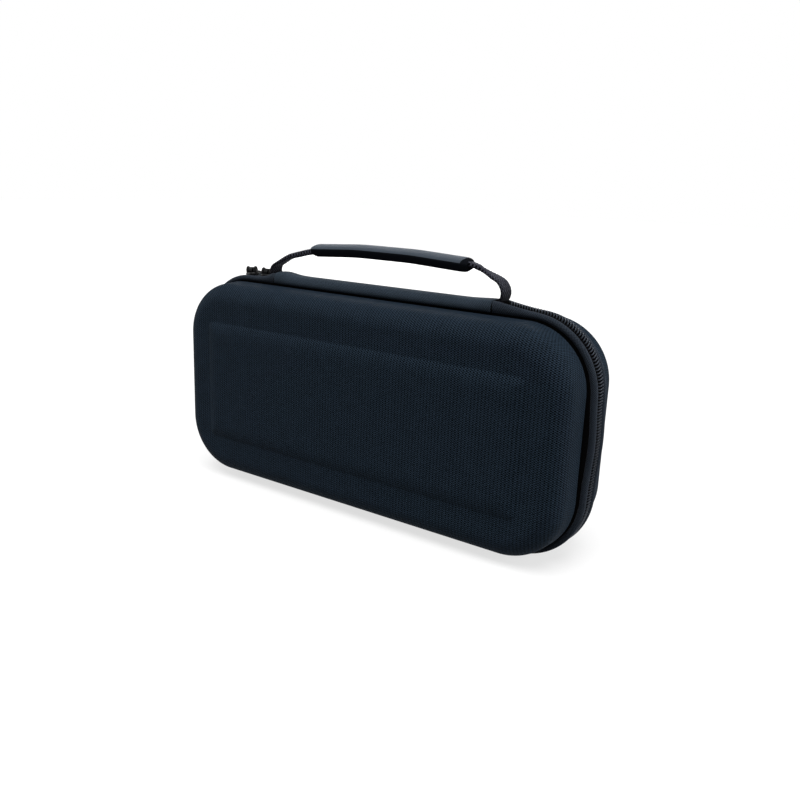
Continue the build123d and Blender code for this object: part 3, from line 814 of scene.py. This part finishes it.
# %% Grip
# Smooth microfibre: a painted lit grey on top that fades softly, and painted shade in black round the sides.
grip_lit_top_cloth = woven_cloth("sleeve_top_painted_light_microfibre", "#30363d", "#3c434c", 0.1, 0.5, 0.04,
                         roughness=0.6, gloss=0.05, sheen_colour="#c9dcf4", sheen_spread=0.4)
grip_shaded_side_cloth = woven_cloth("sleeve_side_painted_shade_microfibre", "#08090c", "#0f1116", 0.0, 0.5, 0.04, gloss=0.01)
GRIP_POINTS = ((-46.4, 142.2), (-14.5, 144.2), (21.5, 144.2), (56.0, 142.4))
GRIP_HALF, GRIP_RISE, GRIP_CROWN, GRIP_LEAN = 5.5, 2.75, 0.5, math.radians(11)
# Rows at each end take painted shade; the angles of the top band below bound the painted light.
GRIP_SQUARE, LEFT_SHADED_ROWS, RIGHT_SHADED_ROWS = 0.42, 2, 6
GRIP_LIT_BAND = (math.radians(22), math.radians(150))
LEFT_STEP = np.array((1.0, 0.2, 0.0, 0.15, 0.6, 1.6, 3.2, 5.0))
LEFT_ACROSS = np.array((0.32, 0.50, 0.72, 0.86, 0.93, 0.97, 1.0, 1.0))
LEFT_UP = np.array((0.46, 0.68, 0.86, 0.94, 0.98, 1.0, 1.0, 1.0))
LEFT_DOWN = np.array((0.20, 0.24, 0.28, 0.34, 0.44, 0.62, 0.86, 1.0))
RIGHT_STEP = np.array((1.0, 0.2, 0.0, 0.4, 1.2, 2.3, 3.6, 5.0))
RIGHT_ACROSS = np.array((0.28, 0.42, 0.58, 0.72, 0.84, 0.93, 0.98, 1.0))
RIGHT_UP = np.array((0.34, 0.46, 0.58, 0.70, 0.82, 0.92, 0.98, 1.0))
RIGHT_DOWN = np.array((0.44, 0.62, 0.78, 0.90, 0.96, 0.98, 0.99, 1.0))
angle = np.radians(np.arange(0, 360, 7.5))
box_y = signed_power(np.cos(angle), GRIP_SQUARE) * GRIP_HALF
box_z = signed_power(np.sin(angle), GRIP_SQUARE) * GRIP_RISE
box_z += np.where(box_z > 0, GRIP_CROWN * (1 - (box_y / GRIP_HALF) ** 2), 0)
sleeve = np.stack((box_y * math.cos(GRIP_LEAN) - box_z * math.sin(GRIP_LEAN),
                   box_y * math.sin(GRIP_LEAN) + box_z * math.cos(GRIP_LEAN)), axis=-1)
# Painted light and shade: faces in the top band take the lit grey, all others the shaded black.
lit_band = (angle > GRIP_LIT_BAND[0]) & (angle < GRIP_LIT_BAND[1])
GRIP_ROWS = 66
grip_line, grip_along = rounded_line(GRIP_POINTS, (200, 200), 1.5)
length = grip_along[-1]
stations = np.concatenate((LEFT_STEP, np.linspace(6, length - 6, GRIP_ROWS), length - RIGHT_STEP[::-1]))
across, above, below = (np.concatenate((a, np.ones(GRIP_ROWS), b[::-1])) for a, b in (
    (LEFT_ACROSS, RIGHT_ACROSS), (LEFT_UP, RIGHT_UP), (LEFT_DOWN, RIGHT_DOWN)))
station_line = np.stack([np.interp(stations, grip_along, grip_line[:, k]) for k in (0, 1)], axis=-1)
grip_run = np.stack([np.interp(stations, grip_along, np.gradient(grip_line[:, k])) for k in (0, 1)], axis=-1)
grip_run /= np.linalg.norm(grip_run, axis=1)[:, None]
grip_up = np.stack((-grip_run[:, 1], grip_run[:, 0]), axis=-1)
height = sleeve[None, :, 1] * np.where(sleeve[None, :, 1] > 0, above[:, None], below[:, None])
place = station_line[:, None, :] + grip_up[:, None, :] * height[..., None]
grip_points = np.stack((place[..., 0], sleeve[None, :, 0] * across[:, None], place[..., 1]), axis=-1)
grip_faces = tube_faces(*grip_points.shape[:2])
grip_flat = np.stack(np.meshgrid(stations, closed_length(sleeve), indexing="ij"), axis=-1)
grip_kinds = np.tile(np.where(lit_band, 0, 1), (len(stations) - 1, 1))
# Painted shade on the drawn-in ends of the sleeve.
grip_kinds[:LEFT_SHADED_ROWS] = 1
grip_kinds[-RIGHT_SHADED_ROWS:] = 1
grip_kinds = np.concatenate((grip_kinds.ravel(), np.ones(len(grip_faces) - grip_kinds.size, int)))
grip = make_piece("padded_grip", grip_points.reshape(-1, 3), grip_faces, (grip_lit_top_cloth, grip_shaded_side_cloth), "spine",
                  ("handle_grip",), grip_flat.reshape(-1, 2), grip_kinds, crisp=70.0)

# %% [markdown]
# Sliders and pulls are zinc castings, barrel polished and lacquered black: dark, satin and a little uneven,
# so their round edges glint softly. The pull tabs keep their CAD shape and only get this finish. The
# sliders are cast again with round edges: two pillow plates on a post, and a crown with two humps and the
# bar for the pull between them.

# %% Lacquered zinc
lacquer, tree = new_material("black_lacquered_zinc_casting")
grain = add_node(tree, "ShaderNodeTexCoord")
uneven = add_node(tree, "ShaderNodeTexNoise", {
    "Vector": grain.outputs["Object"], "Scale": 900.0, "Detail": 3.0})
tint = add_node(tree, "ShaderNodeMix", {
    "Factor": uneven.outputs[0], "A": linear("#020203"), "B": linear("#08080a")}, data_type="RGBA")
gloss = add_node(tree, "ShaderNodeMapRange", {"Value": uneven.outputs[0], "To Min": 0.34, "To Max": 0.50})
relief = add_node(tree, "ShaderNodeBump", {"Height": uneven.outputs[0], "Strength": 0.25, "Distance": 0.0001})
zinc = add_node(tree, "ShaderNodeBsdfPrincipled", {
    "Base Color": tint.outputs["Result"], "Roughness": gloss.outputs[0], "Normal": relief.outputs[0],
    "Specular IOR Level": 0.16})
finish_material(tree, zinc.outputs[0])
for node_name in ("left_pull", "right_pull"):
    node_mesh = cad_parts[node_name].data
    node_mesh.materials.clear()
    node_mesh.materials.append(lacquer)
    print(node_name, "keeps its shape with", lacquer.name)

# %% Cast sliders
PLATE_NOSE, PLATE_TAIL = (1.1, 3.3), (-1.9, 2.5)
UPPER_PLATE = ((2.3, 4.53), (0.9, 4.47), (0.4, 4.27), (0.12, 3.85), (0.0, 3.4), (0.0, 2.5), (0.12, 2.14),
               (0.4, 2.0), (2.3, 1.95))
LOWER_PLATE = ((2.3, 0.55), (0.9, 0.5), (0.4, 0.35), (0.12, 0.1), (0.0, -0.1), (0.12, -0.36), (0.4, -0.5),
               (2.3, -0.55))
CROWN_PLACE = np.array((0.0, 1.0, 1.7, 1.9, 2.0, 2.2, 2.6, 3.1, 3.5, 3.85, 4.1, 4.2))
CROWN_TOP = np.array((6.62, 6.62, 6.66, 6.74, 6.90, 7.35, 7.90, 8.10, 7.90, 7.25, 5.9, 4.6))
CROWN_LOW = np.array((4.88, 4.88, 4.84, 4.70, 4.20, 3.6, 3.6, 3.6, 3.6, 3.6, 3.6, 3.6))
CROWN_HALF = np.array((0.86, 0.86, 0.90, 0.98, 1.08, 1.25, 1.40, 1.45, 1.40, 1.25, 0.95, 0.5))
POST_HALF, POST_LEVELS = (0.9, 0.35), (0.2, 3.4)
LEFT_SLIDER, RIGHT_SLIDER = 96.8, 84.4


def plate_points(plate, nose):
    """A pillow plate: the hull of two circles, as its outermost point in each direction, in layers that
    are drawn in along the same direction. Columns: along the zip, across it, outward."""
    around = np.radians(np.arange(0, 360, 10))
    direction = np.stack((np.cos(around), np.sin(around)), axis=-1)
    reach = np.stack([spot * direction[:, 0] + size for spot, size in (PLATE_NOSE, PLATE_TAIL)])
    spot, size = np.array((PLATE_NOSE, PLATE_TAIL))[reach.argmax(axis=0)].T
    layers = []
    for inset, height in plate:
        flat = direction * (size - np.minimum(inset, size - 0.3))[:, None]
        level = np.full(len(around), height)
        layers.append(np.stack(((flat[:, 0] + spot) * nose, flat[:, 1], level), axis=-1))
    return np.stack(layers)


def crown_points():
    """The crown: a rounded ring at each place along the zip, between its lower and its upper edge."""
    place = np.concatenate((-CROWN_PLACE[:0:-1], CROWN_PLACE))
    top, low, half = (np.interp(np.abs(place), CROWN_PLACE, a) for a in (CROWN_TOP, CROWN_LOW, CROWN_HALF))
    around = np.radians(np.arange(0, 360, 22.5))
    wide = signed_power(np.cos(around), 0.8)
    high = signed_power(np.sin(around), 0.8)
    height = (top + low)[:, None] / 2 + (top - low)[:, None] / 2 * high[None]
    along = np.broadcast_to(place[:, None], height.shape)
    return np.stack((along, half[:, None] * wide[None], height), axis=-1)


def post_points(low, high):
    """The wedge between the plates: two levels of a four-sided outline."""
    ring = np.array(((1, 1), (-1, 1), (-1, -1), (1, -1))) * POST_HALF
    return np.stack([np.column_stack((ring, np.full(4, level))) for level in (low, high)])


def slider_casting(name, place, nose, body, stands_for):
    """Sets the grids of a slider on the rim: along the rim's run, across it, and outward."""
    x, z, out_x, out_z = rim_line(np.array((place,)))
    points, faces, start = [], [], 0
    for grid in (plate_points(UPPER_PLATE, nose), plate_points(LOWER_PLATE, nose), post_points(*POST_LEVELS),
                 crown_points()):
        faces.append(tube_faces(*grid.shape[:2]) + start)
        points.append(grid.reshape(-1, 3))
        start += len(points[-1])
    run, across, outward = np.concatenate(points).T
    placed = np.stack((x + run * out_z + outward * out_x, across, z - run * out_x + outward * out_z), axis=-1)
    return make_piece(name, placed, np.concatenate(faces), (lacquer,), body, stands_for,
                      crisp=50.0)


slider_casting("left_slider_casting", RIM_LENGTH - LEFT_SLIDER, 1, "left_slider_body", ("left_slider",))
slider_casting("right_slider_casting", RIM_LENGTH - RIGHT_SLIDER, -1, "right_slider_body", ("right_slider",))

# %% [markdown]
# Inside the rear half sits a foam tray with a recess for the console, covered with brushed tricot. It is a
# dish too: the recess floor, a round step up, soft edges round the flat rim, and the hidden outside.

# %% Console tray
TRAY_TOP, TRAY_FLOOR, TRAY_BOTTOM = 12.0, 23.0, 24.9
TRAY_OUT, RECESS_OUT = -4.8, -8.0
tray_rings = round_edge(RECESS_OUT - 3.0, TRAY_FLOOR - 3.0, 3.0, 84, 0, 6)
tray_rings += [(RECESS_OUT, d) for d in (18.0, 16.0, 14.5)]
tray_rings += round_edge(RECESS_OUT + 1.4, TRAY_TOP + 1.4, 1.4, 180, 270, 6)
tray_rings += [(RECESS_OUT + 1.8, TRAY_TOP)]
tray_rings += round_edge(TRAY_OUT - 1.0, TRAY_TOP + 1.0, 1.0, -90, 0, 5)
tray_rings += [(TRAY_OUT - 0.3, 16.0), (TRAY_OUT - 0.5, 19.4)]
tray_rings += round_edge(TRAY_OUT - 5.9, 19.5, 5.3, 3, 84, 6)
recess = lambda x, z: np.full(x.shape, TRAY_FLOOR)
underside = lambda x, z: np.full(x.shape, TRAY_BOTTOM)
points, faces, flat, _ = dish(RECESS_OUT - 3.0, recess, tray_rings, TRAY_OUT - 5.9, underside)
points[:, 2] += CENTRE_Z
tray = make_piece("console_insert", points, faces, (lining_cloth,), "base", ("console_tray",),
                  flat)

# %% [markdown]
# A ribbed tape covers the stitched seam inside each rim, held by two rows of stitches. The tape is a thin
# outline carried round the rim; a stitch is a small bent tube, repeated along both rows.

# %% Seam tapes and stitches
# Ribbed tape: a dark grey between the lining and the black seam. The thread on it is paler, so stitches show.
seam_cloth = woven_cloth("ribbed_seam_tape", "#16171a", "#36383d", 0.1, 0.7, 0.12, sheen_colour="#a0a0a8")
thread_cloth = woven_cloth("spun_polyester_thread", "#3a3c41", "#6a6d74", 0.2, 0.4, 0.05,
                           sheen_colour="#b8bcc4")
seam_outline = np.array(((-4.05, 3.65), (-4.5, 11.5), (-4.62, 11.6), (-4.95, 11.55), (-5.05, 11.4),
                         (-4.75, 3.9), (-4.68, 3.7), (-4.55, 3.62)))
STITCH_LENGTH, STITCH_PITCH, STITCH_ROUND = 2.6, 3.5, 0.24
STITCH_DEPTHS, STITCH_RISE, STITCH_SINK = (5.0, 10.2), 0.3, 0.15
TAPE_FACE, TAPE_START, TAPE_DRAFT = -4.68, 3.9, 0.04


def seam_stitches(name, side, body):
    """Rows of stitches: along each one the thread rises on half a sine wave from the tape and dives back
    into it."""
    share = np.linspace(0, 1, 6)
    sides = np.linspace(0, 2 * math.pi, 5, endpoint=False)
    places = np.arange(0, RIM_LENGTH - STITCH_PITCH, STITCH_PITCH)
    parts = []
    for depth in STITCH_DEPTHS:
        surface = TAPE_FACE - (depth - TAPE_START) * TAPE_DRAFT
        lift = STITCH_RISE * np.sin(math.pi * share) - STITCH_SINK
        inward = surface - lift[:, None] - STITCH_ROUND * np.sin(sides)[None, :]
        across = depth + STITCH_ROUND * np.cos(sides)[None, :] + 0 * inward
        along = places[:, None, None] + STITCH_LENGTH * share[None, :, None] + 0 * inward[None]
        x, z, out_x, out_z = rim_line(along)
        reach = np.broadcast_to(inward[None], along.shape)
        y = np.broadcast_to(side * across[None], along.shape)
        parts.append(np.stack((x + reach * out_x, y, z + reach * out_z), axis=-1).reshape(-1, 3))
    points = np.concatenate(parts)
    count = len(share) * len(sides)
    ends = np.array(((0, 1, 2, 2), (0, 2, 3, 3), (0, 3, 4, 4)))
    one = np.concatenate((strip_faces(len(share), len(sides), False, True), ends, ends + count - len(sides)))
    faces = (one[None] + (np.arange(len(points) // count) * count)[:, None, None]).reshape(-1, 4)
    flat = points[:, (0, 2)]
    return make_piece(name, points, faces, (thread_cloth,), body, (), flat, crisp=80.0)


for word, side, body in (("front", -1, "lid"), ("rear", 1, "base")):
    ring_piece(word + "_seam_cover", rim_all, seam_outline, side, (seam_cloth,), body,
               (word + "_seam_tape",), True, bulge=0.0)
    seam_stitches(word + "_seam_stitches", side, body)

# %% [markdown]
# The lid has a net pocket: a knitted net with six-sided holes, sewn to the lining at its sides and foot,
# with an elastic band along its mouth. The net is a flat honeycomb of real holes, given its thickness by a
# modifier, and it bows a little into the case; the band is gathered, so its surface waves along its length.

# %% Net pocket
# Knitted net: thin dark cords, paler than the shade behind them.
net_cord = woven_cloth("knitted_polyester_net", "#1d1f22", "#404349", 0.1, 0.5, 0.05, sheen_colour="#a0a0a8")
NET_LEVEL, NET_MOUTH, NET_PITCH, NET_HOLE = 12.8, 81.0, 4.0, 0.66
NET_OUT, NET_HALF, NET_FOOT, NET_START = -4.9, 122.0, 8.0, 6.0
NET_BOW, NET_THICK = 1.6, 0.6


def inside_plan(x, z, outward):
    """True where a point lies inside the rounded plan moved outward."""
    past_x = np.maximum(np.abs(x) - CORE_X, 0)
    past_z = np.maximum(np.abs(z - CENTRE_Z) - CORE_Z, 0)
    return np.hypot(past_x, past_z) < CORNER + outward


def net_bow(x, z):
    """The net bows out of the lid: a cosine between its sides, times a sine that is highest below its
    mouth."""
    across = np.cos(np.clip(x / NET_HALF, -1, 1) * math.pi / 2)
    height = np.sin(np.clip((z - NET_FOOT) / (NET_MOUTH - NET_FOOT), 0, 1) * math.pi * 0.6)
    return NET_BOW * across * height


row_step = NET_PITCH * math.sqrt(3) / 2
column, row = np.meshgrid(np.arange(-33, 34), np.arange(0, 24))
cell_x = ((column + 0.5 * (row % 2)) * NET_PITCH).ravel()
cell_z = (NET_START + row * row_step).ravel()
kept = inside_plan(cell_x, cell_z, NET_OUT - 1.0) & (cell_z < NET_MOUTH + 3)
cell_x, cell_z = cell_x[kept], cell_z[kept]
six = np.radians(np.arange(6) * 60 + 30)
outer_six = NET_PITCH / math.sqrt(3)
ring_x = np.concatenate((outer_six * np.cos(six), NET_HOLE * outer_six * np.cos(six)))
ring_z = np.concatenate((outer_six * np.sin(six), NET_HOLE * outer_six * np.sin(six)))
net_x = (cell_x[:, None] + ring_x[None]).ravel()
net_z = (cell_z[:, None] + ring_z[None]).ravel()
net_points = np.stack((net_x, -NET_LEVEL + net_bow(net_x, net_z), net_z), axis=-1)
number = np.arange(6)
cell_faces = np.stack((number, (number + 1) % 6, (number + 1) % 6 + 6, number + 6), axis=-1)
net_faces = (cell_faces[None] + (np.arange(len(cell_x)) * 12)[:, None, None]).reshape(-1, 4)
net = make_piece("pocket_mesh", net_points, net_faces, (net_cord,), "lid", ("pocket_net",),
                 net_points[:, (0, 2)])
thicken = net.modifiers.new("thickness", "SOLIDIFY")
thicken.thickness = NET_THICK * METRE
thicken.offset = 0.0

# %% Elastic band
# Ribbed elastic: black between raised grey ribs, with soft gathers.
band_cloth = woven_cloth("ribbed_elastic_band", "#16171a", "#3a3c41", 0.12, 0.9, 0.2, sheen_colour="#a8a8b0")
BAND_LOW, BAND_HIGH, BAND_LEVEL, BAND_BOW = 80.2, 89.8, -13.0, 1.2
GATHER_HEIGHT, GATHER_PITCH = 0.22, 5.2
band_height = np.array((0.0, 0.0, 0.15, 0.5, 0.85, 1.0, 1.0, 0.85, 0.5, 0.15))
band_front = np.array((-0.35, 0.35, 0.7, 0.7, 0.7, 0.35, -0.35, -0.7, -0.7, -0.7))
band_x = np.linspace(-1, 1, 260)
band_z = BAND_LOW + (BAND_HIGH - BAND_LOW) * band_height
past = np.maximum(band_z - CENTRE_Z - CORE_Z, 0)
band_half = CORE_X + np.sqrt((CORNER + NET_OUT) ** 2 - past ** 2) - 0.4
x = band_x[:, None] * band_half[None]
gather = GATHER_HEIGHT * np.sin(2 * math.pi * x / GATHER_PITCH) * (1 - np.abs(2 * band_height - 1))[None]
y = BAND_LEVEL + band_front[None] + gather + BAND_BOW * np.cos(np.clip(x / NET_HALF, -1, 1) * math.pi / 2)
z = np.broadcast_to(band_z[None], x.shape)
band_points = np.stack((x, y, z), axis=-1)
band_faces = tube_faces(*x.shape)
band_round = closed_length(np.stack((band_z, band_front), -1))
band_flat = np.stack((x, np.broadcast_to(band_round[None], x.shape)), -1)
band = make_piece("pocket_elastic", band_points.reshape(-1, 3), band_faces, (band_cloth,), "lid",
                  ("pocket_band",), band_flat.reshape(-1, 2), crisp=60.0)
